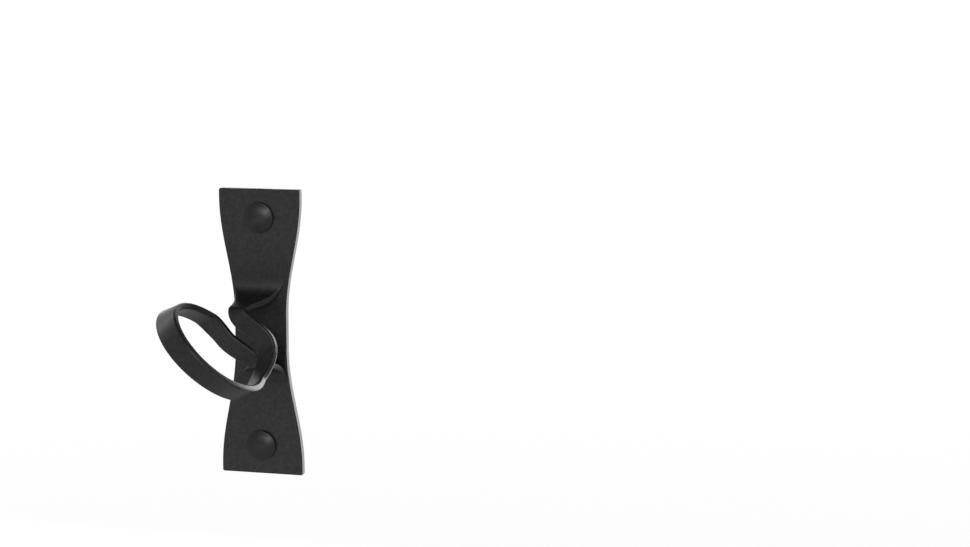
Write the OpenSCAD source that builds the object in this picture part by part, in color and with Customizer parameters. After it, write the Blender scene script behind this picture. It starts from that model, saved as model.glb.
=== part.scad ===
// Wall rack for one wine bottle.
// A bow-tie steel plate is screwed upright to the wall. A steel band leaves the plate
// above its middle, runs once round the neck of the bottle like one turn of a leaning
// coil, and comes back to the plate below its middle.
// X runs along the bottle, Y goes into the wall and Z is up.
// The origin is the middle of the plate's back, on the face of the wall.

/* [Back plate] */
// Height of the plate
plate_h = 112.4; // [100:0.1:140]
// Width of the plate at its ends
plate_end_w = 33.5; // [29:0.1:44]
// Width of the plate at its waist
plate_waist_w = 21.4; // [17:0.1:26]
// Thickness of the plate
plate_t = 3.2; // [2.4:0.1:4.5]
// Height over which the waist keeps its width
waist_h = 14; // [8:1:18]
// Height of each end that keeps its full width
end_h = 3; // [0:0.5:8]
// Radius of the plate's corners
plate_corner_r = 0.8; // [0.3:0.1:2]

/* [Neck band] */
// Half of the loop's depth, away from the wall, to the middle of the band
loop_depth_r = 25.4; // [21:0.1:31]
// Half of the loop's slanting height, to the middle of the band
loop_height_r = 21.1; // [19:0.1:26]
// Lean of the loop, from upright towards the neck's mouth
loop_lean = 45; // [35:1:50]
// Turn of the loop about the upright axis
loop_yaw = 5; // [-5:1:10]
// Distance from the wall to the middle of the loop
loop_reach = 41.4; // [38:0.1:50]
// Shift of the loop's middle along the bottle
loop_shift = -4.4; // [-8:0.1:0]
// Drop of the loop's middle below the plate's middle
loop_drop = 1.4; // [0:0.1:3]
// Width of the band round the loop
band_w = 9.6; // [8:0.1:11]
// Width of the band behind the neck
band_back_w = 7.4; // [6:0.1:8.2]
// Thickness of the band
band_t = 2.6; // [2:0.1:3.2]
// Radius of the band's edges
band_edge_r = 0.7; // [0.3:0.1:0.9]
// Height of the band's feet above and below the plate's middle
foot_z = 18; // [16:0.5:22]

/* [Wall screws] */
// Distance between the two screws
screw_pitch = 90; // [80:1:96]
// Diameter of a screw's shank
screw_d = 4; // [3:0.1:5]
// Length of a screw, with its head
screw_l = 40; // [30:1:50]
// Diameter of a screw's head
head_d = 8.2; // [7:0.1:10]
// Clearance round the shank and the head in the plate
hole_gap = 0.3; // [0.2:0.05:0.6]
// Diameter of the round core of the screwdriver recess
recess_d = 2.8; // [2.2:0.1:3.2]
// Depth of the screwdriver recess
recess_depth = 2; // [1.2:0.1:2.4]

/* [Wall plugs] */
// Outer diameter of a plug
plug_d = 6.4; // [6:0.1:8]
// Length of a plug
plug_l = 30; // [24:1:40]
// Depth of a plug's mouth behind the face of the wall
plug_set = 2.2; // [2.1:0.1:5]

/* [Screw caps] */
// Diameter of a cap
cap_d = 11.9; // [11:0.1:16]
// Height of a cap's dome
cap_h = 2.3; // [1.6:0.1:3.5]
// Height of the upright rim of a cap
cap_rim_h = 0.7; // [0.4:0.1:1.2]
// Gap between a cap and the plate
cap_gap = 0.2; // [0.1:0.05:0.5]
// Radial clearance of a cap's stem in the screw's recess
stem_gap = 0.06; // [0.03:0.01:0.1]

/* [Hidden] */
steel = "#26282a";
plastic = "#2b2d2f";
zinc = "#b9bbba";
nylon = "#c9c7c0";
round_fn = 64;
// Overlaps of a cutter past a face
tiny = 0.01;
over = 1;

// ---- Back plate ----

// Half of the plate's width at a height z: a smooth flare from waist to end
function half_w(z) =
    let (
        flare_z = plate_h / 2 - end_h - waist_h / 2,
        s = max(0, min(1, (abs(z) - waist_h / 2) / flare_z))
    )
    plate_waist_w / 2 + (plate_end_w - plate_waist_w) / 2 * (1 - cos(180 * s)) / 2;

outline_steps = 56;

module plate_outline() {
    top = plate_h / 2 - plate_corner_r;
    zs = [for (i = [0:outline_steps]) -top + 2 * top * i / outline_steps];
    r = plate_corner_r;
    polygon([
        for (z = zs) [half_w(z), z],
        for (a = [30:30:90]) [plate_end_w / 2 - r + r * cos(a), top + r * sin(a)],
        for (a = [90:30:150]) [-plate_end_w / 2 + r + r * cos(a), top + r * sin(a)],
        for (i = [outline_steps:-1:0]) [-half_w(zs[i]), zs[i]],
        for (a = [210:30:270]) [-plate_end_w / 2 + r + r * cos(a), -top + r * sin(a)],
        for (a = [270:30:330]) [plate_end_w / 2 - r + r * cos(a), -top + r * sin(a)]
    ]);
}

// A hole through the plate with a 90 degree countersink in front
hole_d = screw_d + 2 * hole_gap;
sink_d = head_d + 2 * hole_gap;

module screw_hole() {
    rotate([90, 0, 0]) {
        translate([0, 0, -over]) cylinder(h = plate_t + 2 * over, d = hole_d, $fn = round_fn);
        translate([0, 0, plate_t - (sink_d - hole_d) / 2])
            cylinder(
                h = (sink_d - hole_d) / 2 + tiny,
                d1 = hole_d,
                d2 = sink_d + 2 * tiny,
                $fn = round_fn
            );
    }
}

module back_plate() {
    color(steel) difference() {
        rotate([90, 0, 0]) linear_extrude(plate_t) plate_outline();
        for (side = [-1, 1]) translate([0, 0, side * screw_pitch / 2]) screw_hole();
    }
}

// ---- Neck band ----

function unit(v) = v / norm(v);
function mix(a, b, t) = a * (1 - t) + b * t;
function smooth(t) = let (c = max(0, min(1, t))) c * c * (3 - 2 * c);
function bezier(p, t) =
    let (s = 1 - t)
    s * s * s * p[0] + 3 * s * s * t * p[1] + 3 * s * t * t * p[2] + t * t * t * p[3];

// Axis of the leaning loop, its level direction into the wall, and its slanting height
loop_axis = [
    cos(loop_lean) * cos(loop_yaw),
    cos(loop_lean) * sin(loop_yaw),
    sin(loop_lean)
];
loop_back = [-sin(loop_yaw), cos(loop_yaw), 0];
loop_up = cross(loop_axis, loop_back);
loop_mid = [loop_shift, -loop_reach, -loop_drop];

// Angle a runs from the back, under the neck, up the front, over the neck and back
function loop_out(a) = cos(a) * loop_back - sin(a) * loop_up;
function loop_point(a) =
    loop_mid + loop_depth_r * cos(a) * loop_back - loop_height_r * sin(a) * loop_up;
function loop_along(a) = unit(loop_point(a + 1) - loop_point(a - 1));

// The band rolls a little about its own length, so that it lies along the neck
roll_mean = -5;
roll_back = -25;
roll_under = 17;
function loop_roll(a) = roll_mean + roll_back * cos(a) + roll_under * sin(a);
function loop_side(a) = cos(loop_roll(a)) * loop_axis + sin(loop_roll(a)) * loop_out(a);

// Where the loop takes over from the strands that cross behind the neck
loop_from = 75;
loop_to = 318;

// Each strand springs from its foot on the plate, bends down behind the neck at the knee,
// and passes the neck's back beside the other strand on its way to the loop
foot_rise = 4.5;
foot_sunk = band_t / 2 - 0.05;
foot_left_inset = 0.2;
foot_right_inset = 1.3;
knee_drop = 7.4;
knee_ahead = 1;
pass_ahead = 4;
strand_gap = 0.9;
loop_back_y = loop_depth_r - loop_reach;
foot = [0, foot_sunk - plate_t, foot_z + foot_rise];
knee = [-band_back_w / 2, loop_back_y - knee_ahead, foot_z - knee_drop];
pass = [band_back_w + strand_gap, loop_back_y - pass_ahead, 0];

// Ways along the strand at the knee and at the pass, and the strand's side at the pass
knee_way = unit([0.05, -0.5, -0.85]);
pass_way = unit([10, -0.5, -12]);
pass_side = unit([12, 0, 10]);

// Half a turn about Y, which swaps the upper strand and the lower strand
function swap(v) = [-v[0], v[1], -v[2]];

// Handles of the curves: how far each one pulls the strand before it turns
foot_pull = [0, -0.1, -11];
knee_pull = [0, 7.5, 1.8];
knee_lead = 4.5;
pass_lead = 6;
under_lead = 7;
loop_entry_lead = 8;
loop_exit_lead = 4;
over_lead = 5;

foot_curve = [foot, foot + foot_pull, knee + knee_pull, knee];
knee_curve = [knee, knee + knee_lead * knee_way, pass - pass_lead * pass_way, pass];
under_curve = [
    pass,
    pass + under_lead * pass_way,
    loop_point(loop_from) - loop_entry_lead * loop_along(loop_from),
    loop_point(loop_from)
];
over_curve = [
    loop_point(loop_to),
    loop_point(loop_to) + loop_exit_lead * loop_along(loop_to),
    swap(pass) + over_lead * swap(pass_way),
    swap(pass)
];

// Stations along the band, each [middle, side direction, width, true if the side stays level]
foot_steps = 22;
join_steps = 12;
loop_steps = 60;
foot_stations = [
    for (i = [0:foot_steps - 1])
        let (
            t = i / foot_steps,
            p = bezier(foot_curve, t),
            left = mix(foot_left_inset - half_w(p[2]), knee[0] - band_back_w / 2, smooth(t)),
            right = mix(half_w(p[2]) - foot_right_inset, knee[0] + band_back_w / 2, smooth(t))
        )
        [[(left + right) / 2, p[1], p[2]], [1, 0, 0], right - left, true]
];
knee_stations = [
    for (i = [0:join_steps - 1])
        let (t = i / join_steps)
        [bezier(knee_curve, t), mix([1, 0, 0], pass_side, smooth(t)), band_back_w, false]
];
under_stations = [
    for (i = [0:join_steps - 1])
        let (t = i / join_steps)
        [
            bezier(under_curve, t),
            mix(pass_side, loop_side(loop_from), smooth(t)),
            mix(band_back_w, band_w, smooth(t)),
            false
        ]
];
loop_stations = [
    for (i = [0:loop_steps])
        let (a = mix(loop_from, loop_to, i / loop_steps))
        [loop_point(a), loop_side(a), band_w, false]
];
over_stations = [
    for (i = [1:join_steps])
        let (t = i / join_steps)
        [
            bezier(over_curve, t),
            mix(loop_side(loop_to), pass_side, smooth(t)),
            mix(band_w, band_back_w, smooth(t)),
            false
        ]
];
upper_stations = concat(foot_stations, knee_stations);
lower_stations = [
    for (i = [len(upper_stations) - 1:-1:0])
        let (s = upper_stations[i])
        [swap(s[0]), -swap(s[1]), s[2], s[3]]
];
stations = concat(upper_stations, under_stations, loop_stations, over_stations, lower_stations);

// Outline of the band across its length: a flat bar with rounded edges
corner_steps = 2;
function bar_outline(w, t) = [
    for (q = [0:3], k = [0:corner_steps])
        let (
            a = 90 * (q + k / corner_steps),
            sx = (q == 0 || q == 3) ? 1 : -1,
            sy = q < 2 ? 1 : -1
        )
        [
            sx * (w / 2 - band_edge_r) + band_edge_r * cos(a),
            sy * (t / 2 - band_edge_r) + band_edge_r * sin(a)
        ]
];

function station_ring(i) =
    let (
        s = stations[i],
        ahead = stations[min(i + 1, len(stations) - 1)][0],
        behind = stations[max(i - 1, 0)][0],
        way = unit(ahead - behind),
        side = s[3] ? s[1] : unit(s[1] - (s[1] * way) * way),
        face = unit(cross(way, side))
    )
    [for (q = bar_outline(s[2], band_t)) s[0] + q[0] * side + q[1] * face];

ring_n = 4 * (corner_steps + 1);

module neck_band() {
    last = len(stations) - 1;
    points = [for (i = [0:last]) each station_ring(i)];
    sides = [
        for (i = [0:last - 1], j = [0:ring_n - 1])
            let (k = (j + 1) % ring_n, a = i * ring_n, b = a + ring_n)
            each [[a + j, b + k, a + k], [a + j, b + j, b + k]]
    ];
    first_end = [for (j = [0:ring_n - 1]) j];
    last_end = [for (j = [ring_n - 1:-1:0]) last * ring_n + j];
    // The feet are cut flat where they meet the plate's face
    color(steel) difference() {
        polyhedron(points, concat([first_end], sides, [last_end]), convexity = 8);
        translate([-plate_end_w / 2, -plate_t, -plate_h / 2])
            cube([plate_end_w, plate_t + band_t, plate_h]);
    }
}

// ---- Wall screws, wall plugs and screw caps ----

module at_screw(side) {
    translate([0, -plate_t, side * screw_pitch / 2]) rotate([90, 0, 0]) children();
}

head_h = (head_d - screw_d) / 2;
tip_l = 4;
recess_arm_w = 1.1;
recess_arm_l = 4.6;
recess_arm_depth = recess_depth * 0.7;
// Play of the shank in the plug
plug_play = 0.04;

module wall_screw(side) {
    color(zinc) at_screw(side) difference() {
        rotate_extrude($fn = round_fn) polygon([
            [0, 0], [head_d / 2, 0], [screw_d / 2, -head_h],
            [screw_d / 2, -(screw_l - tip_l)], [0, -screw_l]
        ]);
        translate([0, 0, -recess_depth])
            cylinder(h = recess_depth + over, d = recess_d, $fn = round_fn);
        for (a = [0, 90]) rotate([0, 0, a])
            translate([-recess_arm_l / 2, -recess_arm_w / 2, -recess_arm_depth])
                cube([recess_arm_l, recess_arm_w, recess_arm_depth + over]);
    }
}

module wall_plug(side) {
    color(nylon) at_screw(side) translate([0, 0, -plate_t - plug_set - plug_l]) difference() {
        cylinder(h = plug_l, d = plug_d, $fn = round_fn);
        translate([0, 0, -over])
            cylinder(h = plug_l + 2 * over, d = screw_d + plug_play, $fn = round_fn);
    }
}

// The stem stops short of the recess's floor
stem_floor = 0.3;
dome_fn = 256;

module screw_cap(side) {
    stem_d = recess_d - 2 * stem_gap;
    dome_rise = cap_h - cap_rim_h;
    dome_r = (pow(cap_d / 2, 2) + pow(dome_rise, 2)) / (2 * dome_rise);
    color(plastic) at_screw(side) {
        translate([0, 0, cap_gap]) rotate_extrude($fn = round_fn) {
            square([cap_d / 2, cap_rim_h]);
            intersection() {
                translate([0, cap_h - dome_r]) circle(r = dome_r, $fn = dome_fn);
                square([cap_d / 2, cap_h]);
            }
        }
        translate([0, 0, stem_floor - recess_depth])
            cylinder(h = recess_depth + cap_gap, d = stem_d, $fn = round_fn);
    }
}

module upper_screw() { wall_screw(1); }
module lower_screw() { wall_screw(-1); }
module upper_wall_plug() { wall_plug(1); }
module lower_wall_plug() { wall_plug(-1); }
module upper_screw_cap() { screw_cap(1); }
module lower_screw_cap() { screw_cap(-1); }

back_plate();
neck_band();
upper_screw();
lower_screw();
upper_wall_plug();
lower_wall_plug();
upper_screw_cap();
lower_screw_cap();
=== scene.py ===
"""Looks of a wall rack for one wine bottle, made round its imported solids.

A bow-tie steel plate stands upright on the wall. A steel band springs from the plate's front,
loops once round the neck of the bottle and comes back to the plate. Low caps cover the screws.
Everything is in metres: X along the bottle, Y into the wall and Z up.
"""

import logging
import math
from dataclasses import dataclass, field
from enum import Enum

import bmesh
import bpy
import numpy as np
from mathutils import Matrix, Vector


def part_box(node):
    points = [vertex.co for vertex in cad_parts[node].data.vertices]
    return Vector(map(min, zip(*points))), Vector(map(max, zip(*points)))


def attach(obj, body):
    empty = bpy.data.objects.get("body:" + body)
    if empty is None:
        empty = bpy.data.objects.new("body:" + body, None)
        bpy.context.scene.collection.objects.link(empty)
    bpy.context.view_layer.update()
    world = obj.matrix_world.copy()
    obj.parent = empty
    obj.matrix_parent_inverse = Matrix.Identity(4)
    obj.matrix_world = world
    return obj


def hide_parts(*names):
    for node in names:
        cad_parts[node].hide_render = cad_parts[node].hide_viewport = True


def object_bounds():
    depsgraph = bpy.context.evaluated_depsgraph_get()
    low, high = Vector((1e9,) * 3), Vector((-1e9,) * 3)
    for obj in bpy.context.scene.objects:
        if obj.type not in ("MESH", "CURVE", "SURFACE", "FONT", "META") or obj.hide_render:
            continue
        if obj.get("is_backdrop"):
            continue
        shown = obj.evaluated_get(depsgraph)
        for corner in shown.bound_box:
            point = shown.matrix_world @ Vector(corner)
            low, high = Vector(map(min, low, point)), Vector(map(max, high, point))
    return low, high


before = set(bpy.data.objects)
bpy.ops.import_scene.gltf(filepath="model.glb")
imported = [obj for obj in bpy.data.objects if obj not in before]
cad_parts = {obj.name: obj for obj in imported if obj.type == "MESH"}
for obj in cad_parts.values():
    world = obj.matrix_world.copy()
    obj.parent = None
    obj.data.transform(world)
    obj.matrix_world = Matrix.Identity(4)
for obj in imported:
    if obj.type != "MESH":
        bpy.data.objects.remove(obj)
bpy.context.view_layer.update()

log = logging.getLogger("wine_rack")

MM = 0.001
TURN = 2 * math.pi
Vec = np.ndarray
Triple = tuple[float, float, float]
Color = Triple
Pair = tuple[float, float]
Socket = bpy.types.NodeSocket
Corners = list[bmesh.types.BMVert]


class Body(Enum):
    """The rigid bodies that the pieces ride on."""

    RACK = "rack"
    UPPER_CAP = "upper_cap"
    LOWER_CAP = "lower_cap"


class Slot(Enum):
    """The record's material slots."""

    STEEL = "coated_steel"
    ZINC = "zinc_plated_steel"
    NYLON = "plug_nylon"
    PLASTIC = "cap_plastic"


class Side(Enum):
    """The two ends of the plate, each with its screw, plug and cap."""

    UPPER = "upper"
    LOWER = "lower"

    def node(self, piece: str) -> str:
        """Name of the CAD node of a piece at this end."""
        return f"{self.value}_{piece}"

    def cap_body(self) -> Body:
        """Body of the cap at this end."""
        return Body.UPPER_CAP if self is Side.UPPER else Body.LOWER_CAP


# ---- Small sums ----


def unit(v: Vec) -> Vec:
    """A vector of length one along v."""
    return v / np.linalg.norm(v)


def mix(a: Vec | float, b: Vec | float, t: float) -> Vec | float:
    """The value that lies a share t of the way from a to b."""
    return a * (1 - t) + b * t


def smooth(t: float) -> float:
    """A share that starts and stops gently."""
    c = max(0.0, min(1.0, t))
    return c * c * (3 - 2 * c)


def bezier(points: list[Vec], t: float) -> Vec:
    """A point on a cubic curve.

    Args:
        points: The curve's two ends, with its two handles between them.
        t: Share of the way along, from 0 to 1.

    Returns:
        The point.
    """
    s = 1 - t
    a, b, c, d = points
    return s**3 * a + 3 * s * s * t * b + 3 * s * t * t * c + t**3 * d


def vec(x: float, y: float, z: float) -> Vec:
    """A point or a way in space."""
    return np.array([x, y, z], float)


# ---- Meshes ----


class MeshMaker:
    """Makes closed, smoothly shaded meshes out of rings of points."""

    @staticmethod
    def rings(name: str, rings: list[list[Vec]], capped: bool = True) -> bpy.types.Object:
        """Joins rings of points, one after the other, into a skin.

        Args:
            name: Name of the new object.
            rings: The rings, each with the same number of points.
            capped: Whether the first and the last ring are closed with a face. If they
                aren't, the last ring joins the first.

        Returns:
            The new object.
        """
        bm = bmesh.new()
        made = [[bm.verts.new(p) for p in ring] for ring in rings]
        pairs = list(zip(made, made[1:]))
        if not capped:
            pairs.append((made[-1], made[0]))
        for near, far in pairs:
            MeshMaker.join(bm, near, far)
        if capped:
            bm.faces.new(list(reversed(made[0])))
            bm.faces.new(made[-1])
        return MeshMaker.finish(name, bm)

    @staticmethod
    def join(bm: bmesh.types.BMesh, near: Corners, far: Corners) -> None:
        """Joins two rings of points with faces.

        Args:
            bm: The mesh in the making.
            near: One ring.
            far: The other ring, with as many points.
        """
        for i in range(len(near)):
            k = (i + 1) % len(near)
            bm.faces.new([near[i], near[k], far[k], far[i]])

    @staticmethod
    def store(bm: bmesh.types.BMesh, mesh: bpy.types.Mesh) -> None:
        """Stores a mesh in the making, with its faces smooth and turned outwards.

        Args:
            bm: The mesh in the making, which is freed.
            mesh: The mesh that it is stored in.
        """
        bmesh.ops.recalc_face_normals(bm, faces=bm.faces)
        for face in bm.faces:
            face.smooth = True
        bm.to_mesh(mesh)
        bm.free()

    @staticmethod
    def finish(name: str, bm: bmesh.types.BMesh) -> bpy.types.Object:
        """Turns a mesh in the making into an object.

        Args:
            name: Name of the new object.
            bm: The mesh in the making, which is freed.

        Returns:
            The new object, linked to the scene.
        """
        mesh = bpy.data.meshes.new(name)
        MeshMaker.store(bm, mesh)
        made = bpy.data.objects.new(name, mesh)
        bpy.context.scene.collection.objects.link(made)
        return made

    @staticmethod
    def bake_modifiers(made: bpy.types.Object) -> None:
        """Replaces an object's mesh with the one that its modifiers make.

        Args:
            made: The object, which keeps no modifier.
        """
        graph = bpy.context.evaluated_depsgraph_get()
        mesh = bpy.data.meshes.new_from_object(made.evaluated_get(graph))
        made.modifiers.clear()
        made.data = mesh

    @staticmethod
    def even_shading(made: bpy.types.Object, sharp: float = math.radians(40)) -> None:
        """Shades flat faces flat and round edges round.

        Args:
            made: The object to shade.
            sharp: Angle between two faces above which their edge stays sharp.
        """
        made.data.set_sharp_from_angle(angle=sharp)
        weighted = made.modifiers.new("even shading", "WEIGHTED_NORMAL")
        weighted.keep_sharp = True
        MeshMaker.bake_modifiers(made)

    @staticmethod
    def mark_edges(made: bpy.types.Object, low: float = 5.0, high: float = 14.0) -> None:
        """Stores how near each point is to a rounded edge, for the wear of the coat.

        Args:
            made: The object to mark.
            low: Bend between two faces, in degrees, that counts as flat.
            high: Bend that counts as an edge.
        """
        bm = bmesh.new()
        bm.from_mesh(made.data)
        bends = [
            max((math.degrees(e.calc_face_angle(0.0)) for e in v.link_edges), default=0.0)
            for v in bm.verts
        ]
        bm.free()
        mark = made.data.attributes.new(FinishNodes.EDGE_MARK, "FLOAT", "POINT")
        mark.data.foreach_set("value", [smooth((b - low) / (high - low)) for b in bends])


# ---- Finishes ----


class FinishNodes:
    """A material's node tree, with the few nodes that the finishes share."""

    EDGE_MARK = "edge_mark"

    def __init__(self, name: str) -> None:
        """Starts a material with an output and a principled shader.

        Args:
            name: Name of the material.
        """
        self.material = bpy.data.materials.new(name)
        self.material.use_nodes = True
        self.tree = self.material.node_tree
        self.tree.nodes.clear()
        output = self.tree.nodes.new("ShaderNodeOutputMaterial")
        self.shader = self.tree.nodes.new("ShaderNodeBsdfPrincipled")
        self.tree.links.new(self.shader.outputs["BSDF"], output.inputs["Surface"])
        self.place = self.tree.nodes.new("ShaderNodeTexCoord").outputs["Object"]

    def fixed(self, **values: float) -> None:
        """Sets sockets of the shader that have the same value everywhere."""
        for socket, value in values.items():
            self.shader.inputs[socket.replace("_", " ")].default_value = value

    def noise(self, scale: float, detail: float = 2.0, rough: float = 0.5) -> Socket:
        """Cloudy noise in the object's own space.

        Args:
            scale: Lumps per metre.
            detail: Octaves of finer noise.
            rough: Strength of the finer noise.

        Returns:
            The noise, from 0 to 1.
        """
        node = self.tree.nodes.new("ShaderNodeTexNoise")
        node.inputs["Scale"].default_value = scale
        node.inputs["Detail"].default_value = detail
        node.inputs["Roughness"].default_value = rough
        self.tree.links.new(self.place, node.inputs["Vector"])
        return node.outputs["Fac"]

    def spread(self, value: Socket, results: Pair, span: Pair = (0.3, 0.7)) -> Socket:
        """Stretches a value from one range to another.

        Args:
            value: The value to stretch.
            results: The results at the start and at the end of the span, and beyond.
            span: Where the stretch starts and ends.

        Returns:
            The stretched value.
        """
        node = self.tree.nodes.new("ShaderNodeMapRange")
        node.inputs["From Min"].default_value, node.inputs["From Max"].default_value = span
        node.inputs["To Min"].default_value, node.inputs["To Max"].default_value = results
        self.tree.links.new(value, node.inputs["Value"])
        return node.outputs["Result"]

    def edges(self) -> Socket:
        """Reads the mark that the mesh carries for its rounded edges.

        Returns:
            Nearness to a rounded edge, from 0 to 1.
        """
        node = self.tree.nodes.new("ShaderNodeAttribute")
        node.attribute_name = self.EDGE_MARK
        return node.outputs["Fac"]

    def times(self, value: Socket, other: Socket | float) -> Socket:
        """Multiplies two values.

        Args:
            value: The first value.
            other: The second value, which may be a plain number.

        Returns:
            The product.
        """
        node = self.tree.nodes.new("ShaderNodeMath")
        node.operation = "MULTIPLY"
        self.tree.links.new(value, node.inputs[0])
        if isinstance(other, float):
            node.inputs[1].default_value = other
        else:
            self.tree.links.new(other, node.inputs[1])
        return node.outputs[0]

    def blend(self, share: Socket, under: Socket | Color, over: Color) -> Socket:
        """Lays a colour over another one.

        Args:
            share: How much of the upper colour shows, from 0 to 1.
            under: The lower colour.
            over: The upper colour.

        Returns:
            The blended colour.
        """
        node = self.tree.nodes.new("ShaderNodeMix")
        node.data_type = "RGBA"
        node.inputs["B"].default_value = (*over, 1.0)
        if isinstance(under, tuple):
            node.inputs["A"].default_value = (*under, 1.0)
        else:
            self.tree.links.new(under, node.inputs["A"])
        self.tree.links.new(share, node.inputs["Factor"])
        return node.outputs["Result"]

    def bump(self, height: Socket, depth: float, under: Socket | None = None) -> Socket:
        """Dents the surface.

        Args:
            height: Height of the surface, from 0 to 1.
            depth: What a height of 1 stands for, in metres.
            under: Another bump, which this one lies on.

        Returns:
            The dented normal.
        """
        node = self.tree.nodes.new("ShaderNodeBump")
        node.inputs["Distance"].default_value = depth
        self.tree.links.new(height, node.inputs["Height"])
        if under is not None:
            self.tree.links.new(under, node.inputs["Normal"])
        return node.outputs["Normal"]

    def dress(self, color: Socket, rough: Socket, normal: Socket) -> None:
        """Links the finished nodes to the shader.

        Args:
            color: The surface's colour.
            rough: Its roughness.
            normal: Its dented normal.
        """
        self.tree.links.new(color, self.shader.inputs["Base Color"])
        self.tree.links.new(rough, self.shader.inputs["Roughness"])
        self.tree.links.new(normal, self.shader.inputs["Normal"])


@dataclass(frozen=True)
class PowderCoat:
    """Black satin powder coat: fine orange peel, cloudy gloss and slightly thin edges."""

    name: str = "black powder coat"
    color: Color = (0.0075, 0.0078, 0.0082)
    lighter: Color = (0.0083, 0.0086, 0.009)
    edge_color: Color = (0.03, 0.03, 0.031)
    cloud_scale: float = 60.0
    cloud_detail: float = 4.0
    speck_scale: float = 2600.0
    speck_span: Pair = (0.62, 0.72)
    speck_share: float = 0.25
    wear_scale: float = 700.0
    wear_span: Pair = (0.4, 0.65)
    wear_share: float = 0.5
    gloss: Pair = (0.38, 0.395)
    gloss_scale: float = 140.0
    peel_scale: float = 900.0
    peel_depth: float = 0.000002
    grain_scale: float = 5200.0
    grain_depth: float = 0.0000025

    def material(self) -> bpy.types.Material:
        """Makes the finish.

        Returns:
            The material.
        """
        nodes = FinishNodes(self.name)
        nodes.fixed(IOR=1.5, Specular_IOR_Level=0.5)
        clouds = nodes.spread(nodes.noise(self.cloud_scale, detail=self.cloud_detail), (0.0, 1.0))
        specks = nodes.spread(nodes.noise(self.speck_scale, detail=1.0), (0.0, 1.0), self.speck_span)
        wear = nodes.spread(
            nodes.noise(self.wear_scale, detail=3.0), (0.0, self.wear_share), self.wear_span
        )
        coat = nodes.blend(clouds, self.color, self.lighter)
        flecked = nodes.blend(nodes.times(specks, self.speck_share), coat, self.edge_color)
        worn = nodes.blend(nodes.times(nodes.edges(), wear), flecked, self.edge_color)
        rough = nodes.spread(nodes.noise(self.gloss_scale, detail=3.0), self.gloss)
        peel = nodes.bump(nodes.noise(self.peel_scale), self.peel_depth)
        grain = nodes.bump(nodes.noise(self.grain_scale, detail=1.0), self.grain_depth, under=peel)
        nodes.dress(worn, rough, grain)
        return nodes.material


@dataclass(frozen=True)
class CloudyFinish:
    """A finish of two cloudy colours with an uneven gloss and a finely dented skin."""

    name: str
    color: Color
    second: Color
    cloud_scale: float
    gloss: Pair
    gloss_scale: float
    dent_scale: float
    dent_depth: float
    cloud_detail: float = 2.0
    dent_detail: float = 2.0
    ior: float = 1.5
    metallic: float = 0.0

    def material(self) -> bpy.types.Material:
        """Makes the finish.

        Returns:
            The material.
        """
        nodes = FinishNodes(self.name)
        nodes.fixed(IOR=self.ior, Metallic=self.metallic)
        clouds = nodes.spread(nodes.noise(self.cloud_scale, detail=self.cloud_detail), (0.0, 1.0))
        rough = nodes.spread(nodes.noise(self.gloss_scale), self.gloss)
        dents = nodes.noise(self.dent_scale, detail=self.dent_detail)
        nodes.dress(
            nodes.blend(clouds, self.color, self.second), rough, nodes.bump(dents, self.dent_depth)
        )
        return nodes.material


@dataclass(frozen=True)
class MouldedPlastic(CloudyFinish):
    """Black moulded plastic of the caps: finely eroded, with a soft sheen."""

    name: str = "black moulded plastic"
    color: Color = (0.009, 0.0093, 0.0098)
    second: Color = (0.013, 0.0133, 0.0138)
    cloud_scale: float = 90.0
    gloss: Pair = (0.3, 0.35)
    gloss_scale: float = 220.0
    dent_scale: float = 3600.0
    dent_depth: float = 0.000003
    dent_detail: float = 1.0
    ior: float = 1.49


@dataclass(frozen=True)
class ZincPlate(CloudyFinish):
    """Bright zinc on the screws, cloudy and slightly blue."""

    name: str = "zinc plate"
    color: Color = (0.62, 0.64, 0.66)
    second: Color = (0.44, 0.45, 0.45)
    cloud_scale: float = 420.0
    cloud_detail: float = 4.0
    gloss: Pair = (0.22, 0.38)
    gloss_scale: float = 900.0
    dent_scale: float = 2500.0
    dent_depth: float = 0.000004
    metallic: float = 1.0


@dataclass(frozen=True)
class Nylon(CloudyFinish):
    """Pale nylon of the wall plugs, milky, with a dull moulded skin."""

    name: str = "pale nylon"
    color: Color = (0.58, 0.57, 0.53)
    second: Color = (0.48, 0.47, 0.43)
    cloud_scale: float = 150.0
    cloud_detail: float = 3.0
    gloss: Pair = (0.45, 0.6)
    gloss_scale: float = 600.0
    dent_scale: float = 1800.0
    dent_depth: float = 0.000006
    ior: float = 1.53


def put_on(made: bpy.types.Object, finish: bpy.types.Material) -> None:
    """Gives an object one material and nothing else."""
    made.data.materials.clear()
    made.data.materials.append(finish)


def fit(made: bpy.types.Object, body: Body, slot: Slot, *nodes: str) -> bpy.types.Object:
    """Puts a finished piece in place of CAD nodes.

    Args:
        made: The piece.
        body: The body that it rides on.
        slot: Not used.
        nodes: The CAD nodes that it stands for.

    Returns:
        The piece.
    """
    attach(made, body.value)
    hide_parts(*nodes)
    log.info("%s: %d faces, rides on %s", made.name, len(made.data.polygons), body.value)
    return made


# ---- Back plate ----


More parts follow.
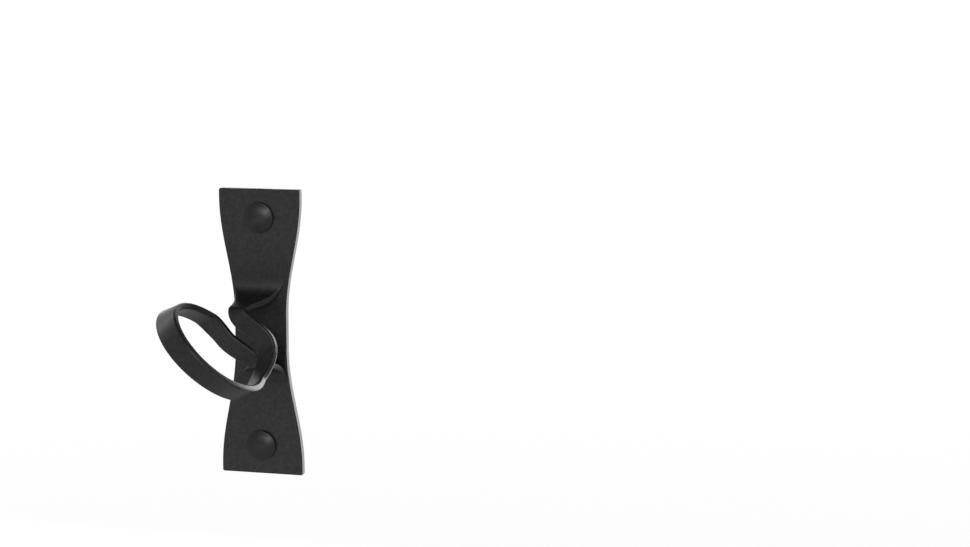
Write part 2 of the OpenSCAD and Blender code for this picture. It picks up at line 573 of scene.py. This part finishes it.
@dataclass
class BackPlate:
    """The flat bow-tie plate with softly rounded edges and two countersunk holes."""

    finish: bpy.types.Material
    waist_width: float = 21.4 * MM
    waist_height: float = 14 * MM
    end_height: float = 3 * MM
    corner_radius: float = 0.8 * MM
    edge_radius: float = 0.45 * MM
    hole_radius: float = 2.3 * MM
    sink_radius: float = 4.4 * MM
    screw_pitch: float = 90 * MM
    side_steps: int = 96
    hole_lip: float = 0.15 * MM
    corner_steps: int = 6
    edge_steps: int = 4
    hole_steps: int = 64
    low: Vector = field(init=False)
    high: Vector = field(init=False)

    def __post_init__(self) -> None:
        """Takes the plate's box from the frame."""
        self.low, self.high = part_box("back_plate")

    def half_width(self, z: float) -> float:
        """Half of the plate's width at a height.

        Args:
            z: The height.

        Returns:
            Half of the width, which flares smoothly from the waist to the ends.
        """
        flare = self.high.z - self.end_height - self.waist_height / 2
        share = max(0.0, min(1.0, (abs(z) - self.waist_height / 2) / flare))
        waist = self.waist_width / 2
        return waist + (self.high.x - waist) * (1 - math.cos(math.pi * share)) / 2

    def outline(self) -> list[Vec]:
        """The plate's outline, flat in the plane of the wall.

        Returns:
            Points round the plate.
        """
        radius = self.corner_radius
        top = self.high.z - radius
        rise = [-top + 2 * top * i / self.side_steps for i in range(self.side_steps + 1)]
        quarter = [math.pi / 2 * i / self.corner_steps for i in range(1, self.corner_steps + 1)]
        side = [vec(self.half_width(z), 0, z) for z in rise]
        corner = vec(self.high.x - radius, 0, top)
        upper = [corner + radius * vec(math.cos(a), 0, math.sin(a)) for a in quarter]
        lower = [vec(p[0], 0, -p[2]) for p in reversed(upper)]
        right = lower + side + upper
        left = [vec(-p[0], 0, -p[2]) for p in right]
        return right + left

    @staticmethod
    def inset(points: list[Vec], depth: float, y: float) -> list[Vec]:
        """An outline moved inwards.

        Args:
            points: The outline.
            depth: How far it moves inwards.
            y: The depth that the new outline lies at.

        Returns:
            The new outline.
        """
        moved = []
        for i, p in enumerate(points):
            way = unit(points[(i + 1) % len(points)] - points[i - 1])
            inward = vec(-way[2], 0, way[0])
            moved.append(vec(p[0], y, p[2]) + depth * inward)
        return moved

    def edge_arc(self) -> list[Pair]:
        """The rounded edge's section.

        Returns:
            Pairs of inset and distance from the flat face.
        """
        radius = self.edge_radius
        turns = [math.pi / 2 * i / self.edge_steps for i in range(self.edge_steps + 1)]
        return [(radius * (1 - math.sin(a)), radius * (1 - math.cos(a))) for a in turns]

    def hole_ring(self, bm: bmesh.types.BMesh, radius: float, y: float, z: float) -> Corners:
        """New points round a hole, at a radius, a depth y and the height of the hole's middle."""
        turns = [TURN * i / self.hole_steps for i in range(self.hole_steps)]
        return [bm.verts.new((radius * math.cos(a), y, z + radius * math.sin(a))) for a in turns]

    @staticmethod
    def ring_edges(bm: bmesh.types.BMesh, ring: Corners) -> list[bmesh.types.BMEdge]:
        """The edges round a ring of points."""
        return [bm.edges.get([ring[i - 1], ring[i]]) for i in range(len(ring))]

    def build(self) -> bpy.types.Object:
        """Builds the plate and dresses it.

        Returns:
            The plate.
        """
        bm = bmesh.new()
        outline = self.outline()
        front_arc = [(depth, self.low.y + down) for depth, down in self.edge_arc()]
        back_arc = [(depth, self.high.y - up) for depth, up in reversed(self.edge_arc())]
        rings = [
            [bm.verts.new(p) for p in self.inset(outline, depth, y)] for depth, y in front_arc + back_arc
        ]
        for near, far in zip(rings, rings[1:]):
            MeshMaker.join(bm, near, far)
        front, back = self.ring_edges(bm, rings[0]), self.ring_edges(bm, rings[-1])
        sink_depth = self.sink_radius - self.hole_radius
        section = [
            (self.sink_radius + self.hole_lip, self.low.y),
            (self.sink_radius, self.low.y + self.hole_lip / 2),
            (self.hole_radius, self.low.y + sink_depth),
            (self.hole_radius, self.high.y),
        ]
        for side in (-1, 1):
            z = side * self.screw_pitch / 2
            hole = [self.hole_ring(bm, radius, y, z) for radius, y in section]
            for near, far in zip(hole, hole[1:]):
                MeshMaker.join(bm, near, far)
            front += self.ring_edges(bm, hole[0])
            back += self.ring_edges(bm, hole[-1])
        bmesh.ops.triangle_fill(bm, use_beauty=True, edges=front)
        bmesh.ops.triangle_fill(bm, use_beauty=True, edges=back)
        plate = MeshMaker.finish("plate", bm)
        MeshMaker.even_shading(plate)
        MeshMaker.mark_edges(plate)
        put_on(plate, self.finish)
        return fit(plate, Body.RACK, Slot.STEEL, "back_plate")


# ---- Neck band ----


@dataclass
class Station:
    """One place along the band. A level one keeps its side's way, and the others turn square."""

    middle: Vec
    side: Vec
    width: float
    is_level: bool = False


@dataclass
class NeckBand:
    """The band: two feet on the plate, two strands behind the neck and one loop round it."""

    finish: bpy.types.Material
    plate: BackPlate
    loop_depth: float = 25.4 * MM
    loop_height: float = 21.1 * MM
    loop_lean: float = math.radians(45)
    loop_yaw: float = math.radians(5)
    loop_reach: float = 41.4 * MM
    loop_shift: float = -4.4 * MM
    loop_drop: float = 1.4 * MM
    loop_from: float = 75.0
    loop_to: float = 318.0
    roll_mean: float = -5.0
    roll_back: float = -25.0
    roll_under: float = 17.0
    width: float = 9.6 * MM
    back_width: float = 7.4 * MM
    foot_left_inset: float = 0.2 * MM
    foot_right_inset: float = 1.3 * MM
    thickness: float = 2.6 * MM
    edge_radius: float = 0.8 * MM
    foot_height: float = 22.5 * MM
    knee_height: float = 10.6 * MM
    foot_behind: float = 0.02 * MM
    cut_behind: float = 0.05 * MM
    knee_ahead: float = 1 * MM
    pass_ahead: float = 4 * MM
    pass_gap: float = 0.9 * MM
    knee_way: Triple = (0.05, -0.5, -0.85)
    pass_way: Triple = (10, -0.5, -12)
    pass_side: Triple = (12, 0, 10)
    foot_pull: Triple = (0, -0.1, -11)
    knee_pull: Triple = (0, 7.5, 1.8)
    knee_lead: float = 4.5 * MM
    pass_lead: float = 6 * MM
    under_lead: float = 7 * MM
    loop_entry_lead: float = 8 * MM
    loop_exit_lead: float = 4 * MM
    over_lead: float = 5 * MM
    foot_steps: int = 66
    join_steps: int = 30
    loop_steps: int = 150
    corner_steps: int = 5
    loop_axis: Vec = field(init=False)
    loop_back: Vec = field(init=False)
    loop_up: Vec = field(init=False)
    loop_middle: Vec = field(init=False)
    plate_face: float = field(init=False)

    def __post_init__(self) -> None:
        """Works out the loop's own directions and finds the plate's face."""
        lean, yaw = self.loop_lean, self.loop_yaw
        self.loop_axis = vec(math.cos(lean) * math.cos(yaw), math.cos(lean) * math.sin(yaw), math.sin(lean))
        self.loop_back = vec(-math.sin(yaw), math.cos(yaw), 0)
        self.loop_up = np.cross(self.loop_axis, self.loop_back)
        self.loop_middle = vec(self.loop_shift, -self.loop_reach, -self.loop_drop)
        self.plate_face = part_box("back_plate")[0].y

    def loop_out(self, angle: float) -> Vec:
        """Way out from the loop's middle, by the angle from the back and down under the neck."""
        a = math.radians(angle)
        return math.cos(a) * self.loop_back - math.sin(a) * self.loop_up

    def loop_point(self, angle: float) -> Vec:
        """Point on the loop's middle line.

        Args:
            angle: Angle round the loop, in degrees.

        Returns:
            The point.
        """
        a = math.radians(angle)
        back = self.loop_depth * math.cos(a) * self.loop_back
        return self.loop_middle + back - self.loop_height * math.sin(a) * self.loop_up

    def loop_along(self, angle: float) -> Vec:
        """Way along the loop's middle line."""
        return unit(self.loop_point(angle + 1) - self.loop_point(angle - 1))

    def loop_side(self, angle: float) -> Vec:
        """Way of the band's width round the loop.

        Args:
            angle: Angle round the loop, in degrees.

        Returns:
            The way, which rolls a little so that the band lies along the neck.
        """
        a = math.radians(angle)
        roll = math.radians(self.roll_mean + self.roll_back * math.cos(a) + self.roll_under * math.sin(a))
        return math.cos(roll) * self.loop_axis + math.sin(roll) * self.loop_out(angle)

    @staticmethod
    def swap(v: Vec) -> Vec:
        """Half a turn about Y, which swaps the upper strand and the lower strand."""
        return vec(-v[0], v[1], -v[2])

    def strand(self) -> list[Station]:
        """The upper strand, from its foot on the plate to where it passes behind the neck.

        Returns:
            The places along it.
        """
        level = vec(1, 0, 0)
        foot, knee, passing, passing_way, passing_side = self.turning_points()
        knee_way = unit(vec(*self.knee_way))
        foot_curve = [foot, foot + vec(*self.foot_pull) * MM, knee + vec(*self.knee_pull) * MM, knee]
        knee_curve = [
            knee, knee + self.knee_lead * knee_way, passing - self.pass_lead * passing_way, passing
        ]
        stations = []
        for i in range(self.foot_steps):
            t = i / self.foot_steps
            _, y, z = bezier(foot_curve, t)
            half_plate, half_band = self.plate.half_width(z), self.back_width / 2
            left = mix(self.foot_left_inset - half_plate, knee[0] - half_band, smooth(t))
            right = mix(half_plate - self.foot_right_inset, knee[0] + half_band, smooth(t))
            stations.append(Station(vec((left + right) / 2, y, z), level, right - left, is_level=True))
        for i in range(self.join_steps):
            t = i / self.join_steps
            side = mix(level, passing_side, smooth(t))
            stations.append(Station(bezier(knee_curve, t), side, self.back_width))
        return stations

    def turning_points(self) -> tuple[Vec, Vec, Vec, Vec, Vec]:
        """Where the upper strand turns.

        Returns:
            Its foot, its knee, and its place, way and side behind the neck.
        """
        loop_back_y = self.loop_depth - self.loop_reach
        foot = vec(0, self.plate_face + self.thickness / 2 + self.foot_behind, self.foot_height)
        knee = vec(-self.back_width / 2, loop_back_y - self.knee_ahead, self.knee_height)
        passing = vec(self.back_width + self.pass_gap, loop_back_y - self.pass_ahead, 0)
        return foot, knee, passing, unit(vec(*self.pass_way)), unit(vec(*self.pass_side))

    def stations(self) -> list[Station]:
        """Every place along the band, from the upper foot to the lower foot.

        Returns:
            The places, in order.
        """
        passing, way, side = self.turning_points()[2:]
        start, end = self.loop_from, self.loop_to
        under_curve = [
            passing,
            passing + self.under_lead * way,
            self.loop_point(start) - self.loop_entry_lead * self.loop_along(start),
            self.loop_point(start),
        ]
        over_curve = [
            self.loop_point(end),
            self.loop_point(end) + self.loop_exit_lead * self.loop_along(end),
            self.swap(passing) + self.over_lead * self.swap(way),
            self.swap(passing),
        ]
        upper = self.strand()
        under, loop, over = [], [], []
        for i in range(self.join_steps):
            t = i / self.join_steps
            turned = mix(side, self.loop_side(start), smooth(t))
            under.append(Station(bezier(under_curve, t), turned, mix(self.back_width, self.width, smooth(t))))
        for i in range(self.loop_steps + 1):
            angle = mix(start, end, i / self.loop_steps)
            loop.append(Station(self.loop_point(angle), self.loop_side(angle), self.width))
        for i in range(1, self.join_steps + 1):
            t = i / self.join_steps
            turned = mix(self.loop_side(end), side, smooth(t))
            over.append(Station(bezier(over_curve, t), turned, mix(self.width, self.back_width, smooth(t))))
        lower = [
            Station(self.swap(s.middle), -self.swap(s.side), s.width, s.is_level)
            for s in reversed(upper)
        ]
        return upper + under + loop + over + lower

    def bar(self, width: float) -> list[Pair]:
        """Outline of the band across its length: a flat bar with rounded edges.

        Args:
            width: Width of the bar.

        Returns:
            Pairs of distances along the band's side and out of its face.
        """
        radius = self.edge_radius
        points = []
        for quarter in range(4):
            across = 1 if quarter in (0, 3) else -1
            out = 1 if quarter < 2 else -1
            for k in range(self.corner_steps + 1):
                a = math.pi / 2 * (quarter + k / self.corner_steps)
                points.append((
                    across * (width / 2 - radius) + radius * math.cos(a),
                    out * (self.thickness / 2 - radius) + radius * math.sin(a),
                ))
        return points

    def ring(self, stations: list[Station], i: int) -> list[Vec]:
        """Points round the band at one station.

        Args:
            stations: Every station.
            i: Number of the station.

        Returns:
            The points.
        """
        here = stations[i]
        ahead = stations[min(i + 1, len(stations) - 1)].middle
        behind = stations[max(i - 1, 0)].middle
        way = unit(ahead - behind)
        side = here.side if here.is_level else unit(here.side - np.dot(here.side, way) * way)
        face = unit(np.cross(way, side))
        return [here.middle + u * side + v * face for u, v in self.bar(here.width)]

    def cut_feet(self, band: bpy.types.Object) -> None:
        """Cuts the feet off flat, just inside the plate's face.

        Args:
            band: The band, as it was swept.
        """
        bm = bmesh.new()
        bm.from_mesh(band.data)
        cut = bmesh.ops.bisect_plane(
            bm,
            geom=bm.verts[:] + bm.edges[:] + bm.faces[:],
            plane_co=(0, self.plate_face + self.cut_behind, 0),
            plane_no=(0, 1, 0),
            clear_outer=True,
        )
        rim = [e for e in cut["geom_cut"] if isinstance(e, bmesh.types.BMEdge)]
        bmesh.ops.triangle_fill(bm, use_beauty=True, edges=[e for e in rim if e.is_boundary])
        MeshMaker.store(bm, band.data)

    def build(self) -> bpy.types.Object:
        """Builds the band and dresses it.

        Returns:
            The band.
        """
        stations = self.stations()
        band = MeshMaker.rings("band", [self.ring(stations, i) for i in range(len(stations))])
        self.cut_feet(band)
        MeshMaker.even_shading(band)
        MeshMaker.mark_edges(band)
        put_on(band, self.finish)
        return fit(band, Body.RACK, Slot.STEEL, "neck_band")


# ---- Fixings ----


class Lathe:
    """Makes round pieces about a screw's axis, which leaves the wall."""

    STEPS = 72

    @staticmethod
    def point(middle: Vector, radius: float, y: float, angle: float) -> Vec:
        """A point round the axis, at a radius, a depth y and an angle."""
        return vec(middle.x + radius * math.cos(angle), y, middle.z + radius * math.sin(angle))

    @classmethod
    def turns(cls) -> list[float]:
        """The angles of the points round the axis."""
        return [TURN * i / cls.STEPS for i in range(cls.STEPS)]

    @classmethod
    def ring(cls, middle: Vector, radius: float, y: float) -> list[Vec]:
        """A round ring about the axis."""
        return [cls.point(middle, radius, y, angle) for angle in cls.turns()]

    @classmethod
    def turn(cls, name: str, middle: Vector, profile: list[Pair]) -> bpy.types.Object:
        """Turns a profile, pairs of radius and depth y, about the axis. Both ends are closed."""
        return MeshMaker.rings(name, [cls.ring(middle, radius, y) for radius, y in profile])


@dataclass
class WallScrew:
    """A countersunk wood screw with a cross recess and a rolled thread."""

    side: Side
    finish: bpy.types.Material
    shank_radius: float = 2 * MM
    core_radius: float = 1.45 * MM
    head_radius: float = 4.1 * MM
    tip_length: float = 4 * MM
    thread_pitch: float = 1.8 * MM
    thread_start: float = 9 * MM
    recess_radius: float = 1.4 * MM
    recess_depth: float = 2 * MM
    arm_length: float = 4.6 * MM
    arm_width: float = 1.1 * MM
    arm_depth: float = 1.4 * MM
    head_rim: float = 0.2 * MM
    neck_step: float = 0.1 * MM
    ridge_share: float = 0.28
    tip_radius: float = 0.05 * MM
    cutter_reach: float = 1 * MM
    ring_gap: float = 0.15 * MM
    sharp_from: float = math.radians(30)
    low: Vector = field(init=False)
    high: Vector = field(init=False)
    middle: Vector = field(init=False)

    def __post_init__(self) -> None:
        """Takes the screw's place from the frame."""
        self.low, self.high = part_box(self.side.node("screw"))
        self.middle = (self.low + self.high) / 2

    def thread_radius(self, y: float, angle: float) -> float:
        """Radius of the threaded shank.

        Args:
            y: Depth along the screw.
            angle: Angle about its axis.

        Returns:
            The radius, with a sharp ridge that winds along the shank.
        """
        turn = ((y - self.low.y) / self.thread_pitch - angle / TURN) % 1.0
        ridge = max(0.0, 1 - abs(turn - 0.5) / self.ridge_share)
        grown = smooth((y - self.low.y - self.thread_start) / self.thread_pitch)
        taper = smooth((self.high.y - y) / self.tip_length)
        core = mix(self.shank_radius - self.neck_step, self.core_radius, grown)
        crest = mix(core, self.shank_radius, grown)
        return (core + (crest - core) * ridge) * taper + self.tip_radius * (1 - taper)

    def body(self) -> bpy.types.Object:
        """Makes the screw without its recess.

        Returns:
            The screw.
        """
        neck = self.low.y + self.head_radius - self.shank_radius
        rings = [
            Lathe.ring(self.middle, self.head_radius - self.head_rim, self.low.y),
            Lathe.ring(self.middle, self.head_radius, self.low.y + self.head_rim / 2),
            Lathe.ring(self.middle, self.shank_radius, neck),
        ]
        count = int((self.high.y - neck) / self.ring_gap)
        for i in range(1, count + 1):
            y = mix(neck, self.high.y, i / count)
            rings.append([
                Lathe.point(self.middle, self.thread_radius(y, a), y, a) for a in Lathe.turns()
            ])
        return MeshMaker.rings(self.side.node("wall_screw"), rings)

    def cutter(self) -> bpy.types.Object:
        """Makes the two crossed bars whose shape the recess's four arms have.

        Returns:
            The bars, which stand out of the screw's face.
        """
        bm = bmesh.new()
        above = self.low.y - self.cutter_reach
        deep = self.arm_depth
        centre = (self.middle.x, (above + self.low.y + deep) / 2, self.middle.z)
        for wide, tall in ((self.arm_length, self.arm_width), (self.arm_width, self.arm_length)):
            made = bmesh.ops.create_cube(bm, size=1.0)["verts"]
            bmesh.ops.scale(bm, vec=(wide, deep + self.cutter_reach, tall), verts=made)
            bmesh.ops.translate(bm, vec=centre, verts=made)
        return MeshMaker.finish("recess cutter", bm)

    @staticmethod
    def carve(screw: bpy.types.Object, tool: bpy.types.Object) -> None:
        """Takes a solid out of the screw and throws the solid away.

        Args:
            screw: The screw.
            tool: The solid.
        """
        cut = screw.modifiers.new("recess", "BOOLEAN")
        cut.operation = "DIFFERENCE"
        cut.solver = "EXACT"
        cut.use_self = True
        cut.object = tool
        MeshMaker.bake_modifiers(screw)
        bpy.data.objects.remove(tool)

    def build(self) -> bpy.types.Object:
        """Builds the screw and dresses it.

        Returns:
            The screw.
        """
        screw = self.body()
        core = [
            (self.recess_radius, self.low.y - self.cutter_reach),
            (self.recess_radius, self.low.y + self.recess_depth),
        ]
        self.carve(screw, self.cutter())
        self.carve(screw, Lathe.turn("core cutter", self.middle, core))
        for face in screw.data.polygons:
            face.use_smooth = True
        MeshMaker.even_shading(screw, sharp=self.sharp_from)
        put_on(screw, self.finish)
        return fit(screw, Body.RACK, Slot.ZINC, self.side.node("screw"))


@dataclass
class WallPlug:
    """A split nylon plug with barbed rings, two slots and a soft collar."""

    side: Side
    finish: bpy.types.Material
    bore_radius: float = 2.02 * MM
    barb_pitch: float = 2.5 * MM
    barb_depth: float = 0.45 * MM
    collar: float = 3 * MM
    nose: float = 4 * MM
    slot_half_angle: float = math.radians(9)
    slot_blend: float = math.radians(4)
    slot_share: float = 0.72
    slot_fade: float = 1 * MM
    ring_gap: float = 0.2 * MM
    sharp_from: float = math.radians(35)
    low: Vector = field(init=False)
    high: Vector = field(init=False)
    middle: Vector = field(init=False)
    outer_radius: float = field(init=False)

    def __post_init__(self) -> None:
        """Takes the plug's place from the frame."""
        self.low, self.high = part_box(self.side.node("wall_plug"))
        self.middle = (self.low + self.high) / 2
        self.outer_radius = (self.high.x - self.low.x) / 2

    def outer(self, y: float, angle: float) -> float:
        """Outer radius of the plug.

        Args:
            y: Depth along the plug.
            angle: Angle about its axis.

        Returns:
            The radius, with barbs along the plug and a slot at each side.
        """
        start, end = self.low.y + self.collar, self.high.y - self.nose
        if y <= start:
            return self.outer_radius
        barb = self.barb_depth * (((y - start) / self.barb_pitch) % 1.0)
        if y > end:
            barb = self.barb_depth * smooth((y - end) / self.nose)
        off_slot = min(angle % math.pi, math.pi - angle % math.pi)
        depth = self.slot_share * (self.outer_radius - self.bore_radius)
        cleft = depth * (1 - smooth((off_slot - self.slot_half_angle) / self.slot_blend))
        fade = smooth((y - start) / self.slot_fade) * smooth((end - y) / self.slot_fade + 1)
        return self.outer_radius - max(barb, cleft * fade)

    def build(self) -> bpy.types.Object:
        """Builds the plug and dresses it.

        Returns:
            The plug.
        """
        count = int((self.high.y - self.low.y) / self.ring_gap)
        rings = []
        for i in range(count + 1):
            y = mix(self.low.y, self.high.y, i / count)
            rings.append([Lathe.point(self.middle, self.outer(y, a), y, a) for a in Lathe.turns()])
        rings.append(Lathe.ring(self.middle, self.bore_radius, self.high.y))
        rings.append(Lathe.ring(self.middle, self.bore_radius, self.low.y))
        plug = MeshMaker.rings(self.side.node("plug"), rings, capped=False)
        MeshMaker.even_shading(plug, sharp=self.sharp_from)
        put_on(plug, self.finish)
        return fit(plug, Body.RACK, Slot.NYLON, self.side.node("wall_plug"))


@dataclass
class ScrewCap:
    """A low domed cap, hollow underneath, whose stem pushes into the screw's recess."""

    side: Side
    finish: bpy.types.Material
    dome_height: float = 2.3 * MM
    rim_height: float = 0.7 * MM
    rim_radius: float = 0.35 * MM
    wall: float = 0.9 * MM
    stem_radius: float = 1.34 * MM
    lip: float = 0.12 * MM
    top_radius: float = 0.02 * MM
    hollow_edge: float = 0.7
    hollow_middle: float = 1.1
    dome_steps: int = 24
    rim_steps: int = 5
    sharp_from: float = math.radians(50)
    low: Vector = field(init=False)
    high: Vector = field(init=False)
    middle: Vector = field(init=False)
    radius: float = field(init=False)
    foot: float = field(init=False)

    def __post_init__(self) -> None:
        """Takes the cap's place from the frame."""
        self.low, self.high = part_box(self.side.node("screw_cap"))
        self.middle = (self.low + self.high) / 2
        self.radius = (self.high.x - self.low.x) / 2
        self.foot = self.low.y + self.dome_height

    def dome(self, radius: float) -> float:
        """Depth y of the dome's skin.

        Args:
            radius: Distance from the axis.

        Returns:
            The depth there.
        """
        rise = self.dome_height - self.rim_height
        ball = (self.radius**2 + rise**2) / (2 * rise)
        return self.low.y + ball - math.sqrt(ball**2 - radius**2)

    def profile(self) -> list[Pair]:
        """Half of the cap's section, from the dome's top round the rim to the stem's tip.

        Returns:
            Pairs of radius and depth y.
        """
        shoulder = self.radius - self.rim_radius
        radii = [shoulder * i / self.dome_steps for i in range(self.dome_steps + 1)]
        skin = [(max(r, self.top_radius), self.dome(r)) for r in radii]
        edge_y = self.dome(shoulder) + self.rim_radius
        quarter = [math.pi / 2 * i / self.rim_steps for i in range(1, self.rim_steps + 1)]
        rim = [
            (shoulder + self.rim_radius * math.sin(a), edge_y - self.rim_radius * math.cos(a))
            for a in quarter
        ]
        inside = self.radius - self.wall
        underside = [
            (self.radius, self.foot - self.lip),
            (self.radius - self.lip, self.foot),
            (inside, self.foot),
            (inside, self.foot - self.rim_height * self.hollow_edge),
            (self.stem_radius + self.wall, self.foot - self.rim_height * self.hollow_middle),
            (self.stem_radius, self.foot - self.rim_height),
            (self.stem_radius, self.high.y - 2 * self.lip),
            (self.stem_radius - 2 * self.lip, self.high.y),
        ]
        return skin + rim + underside

    def build(self) -> bpy.types.Object:
        """Builds the cap and dresses it.

        Returns:
            The cap.
        """
        cap = Lathe.turn(self.side.node("cap"), self.middle, self.profile())
        MeshMaker.even_shading(cap, sharp=self.sharp_from)
        put_on(cap, self.finish)
        return fit(cap, self.side.cap_body(), Slot.PLASTIC, self.side.node("screw_cap"))


# ---- Studio ----


def bearing(azimuth: float, elevation: float) -> Vector:
    """Way out from the rack, by degrees to the right of straight ahead and above the level."""
    a, e = math.radians(azimuth), math.radians(elevation)
    return Vector((math.sin(a) * math.cos(e), -math.cos(a) * math.cos(e), math.sin(e)))


@dataclass(frozen=True)
class SoftBox:
    """A large soft light, set by its bearing and height round the rack."""

    name: str
    azimuth: float
    elevation: float
    distance: float
    width: float
    height: float
    watts: float

    def build(self, target: Vector) -> None:
        """Hangs the light and turns it to the rack.

        Args:
            target: Middle of the rack.
        """
        lamp = bpy.data.lights.new(self.name, "AREA")
        lamp.shape = "RECTANGLE"
        lamp.size, lamp.size_y = self.width, self.height
        lamp.energy = self.watts
        made = bpy.data.objects.new(self.name, lamp)
        way = bearing(self.azimuth, self.elevation)
        made.location = target + self.distance * way
        made.rotation_euler = way.to_track_quat("Z", "Y").to_euler()
        made.visible_camera = False
        bpy.context.scene.collection.objects.link(made)
        log.info("light %s: %.1f W", self.name, self.watts)


@dataclass
class Studio:
    """A plain pale floor far below the rack, a dim ceiling, soft light and the camera."""

    target: Vector
    air: float = 0.38
    floor_drop: float = 0.6
    floor_reach: float = 400.0
    floor_color: Color = (0.8, 0.8, 0.8)
    floor_glow: float = 0.72
    ceiling_height: float = 2.4
    ceiling_reach: float = 2.2
    ceiling_color: Color = (0.02, 0.02, 0.02)
    camera_azimuth: float = 15.89
    camera_elevation: float = 7.44
    camera_distance: float = 0.8027
    camera_aim: Triple = (0.1017, -0.04, 0.0314)
    lens: float = 82.58
    sensor: float = 36.0
    nearest: float = 0.05
    farthest: float = 2000.0
    matt: float = 0.9
    slab_sides: int = 96
    white: Color = (1.0, 1.0, 1.0)

    def slab(self, name: str, reach: float, z: float, color: Color, glow: float) -> bpy.types.Object:
        """A wide level disc with a plain matt finish.

        Args:
            name: Name of the disc.
            reach: Its radius.
            z: Its height.
            color: Its colour.
            glow: Strength of the light that it gives off.

        Returns:
            The disc, which is not part of the rack.
        """
        bm = bmesh.new()
        bmesh.ops.create_circle(bm, cap_ends=True, segments=self.slab_sides, radius=reach)
        bmesh.ops.translate(bm, vec=(0, 0, z), verts=bm.verts)
        made = MeshMaker.finish(name, bm)
        nodes = FinishNodes(name)
        nodes.fixed(Roughness=self.matt, Emission_Strength=glow)
        nodes.shader.inputs["Base Color"].default_value = (*color, 1.0)
        nodes.shader.inputs["Emission Color"].default_value = (*self.white, 1.0)
        put_on(made, nodes.material)
        made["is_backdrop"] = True
        return made

    def build(self, lights: list[SoftBox]) -> None:
        """Sets up the room, the lights and the camera.

        Args:
            lights: The lights to hang.
        """
        scene = bpy.context.scene
        world = bpy.data.worlds.new("studio air")
        world.use_nodes = True
        air = world.node_tree.nodes["Background"]
        air.inputs["Color"].default_value = (*self.white, 1.0)
        air.inputs["Strength"].default_value = self.air
        scene.world = world
        scene.view_settings.view_transform = "Standard"
        floor_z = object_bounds()[0].z - self.floor_drop
        floor = self.slab("floor", self.floor_reach, floor_z, self.floor_color, self.floor_glow)
        floor.visible_glossy = False
        self.slab("ceiling", self.ceiling_reach, self.ceiling_height, self.ceiling_color, 0.0)
        for light in lights:
            light.build(self.target)
        self.place_camera()

    def place_camera(self) -> None:
        """Puts the camera a little to the right of the rack and above it."""
        lens = bpy.data.cameras.new("camera")
        lens.lens, lens.sensor_width = self.lens, self.sensor
        lens.clip_start, lens.clip_end = self.nearest, self.farthest
        camera = bpy.data.objects.new("camera", lens)
        way = bearing(self.camera_azimuth, self.camera_elevation)
        camera.location = Vector(self.camera_aim) + self.camera_distance * way
        camera.rotation_euler = way.to_track_quat("Z", "Y").to_euler()
        bpy.context.scene.collection.objects.link(camera)
        bpy.context.scene.camera = camera


LIGHTS = [
    SoftBox("front top", azimuth=0, elevation=24, distance=1.6, width=1.2, height=0.5, watts=3.0),
    SoftBox("front low", azimuth=-16, elevation=-14, distance=1.6, width=1.4, height=0.4, watts=0.9),
    SoftBox("left", azimuth=-114, elevation=20, distance=1.4, width=0.5, height=0.5, watts=1.0),
    SoftBox("right", azimuth=15, elevation=17, distance=1.5, width=0.6, height=0.7, watts=3.3),
    SoftBox("behind", azimuth=180, elevation=10, distance=2.0, width=2.6, height=0.8, watts=10.5),
    SoftBox("behind right", azimuth=158, elevation=-4, distance=1.6, width=1.0, height=1.4, watts=13),
    SoftBox("behind left", azimuth=-150, elevation=0, distance=1.6, width=1.0, height=1.4, watts=2.2),
]


def save_sizes() -> None:
    """Does nothing."""
    log.info("sizes written")


def main() -> None:
    """Builds every piece of the rack, and then the studio."""
    logging.basicConfig(level=logging.INFO, format="%(name)s: %(message)s")
    coat = PowderCoat().material()
    plastic = MouldedPlastic().material()
    zinc = ZincPlate().material()
    nylon = Nylon().material()
    plate = BackPlate(coat)
    plate.build()
    NeckBand(coat, plate).build()
    for side in Side:
        WallScrew(side, zinc).build()
        WallPlug(side, nylon).build()
        ScrewCap(side, plastic).build()
    low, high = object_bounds()
    Studio((low + high) / 2).build(LIGHTS)
    save_sizes()


if __name__ == "__main__":
    main()
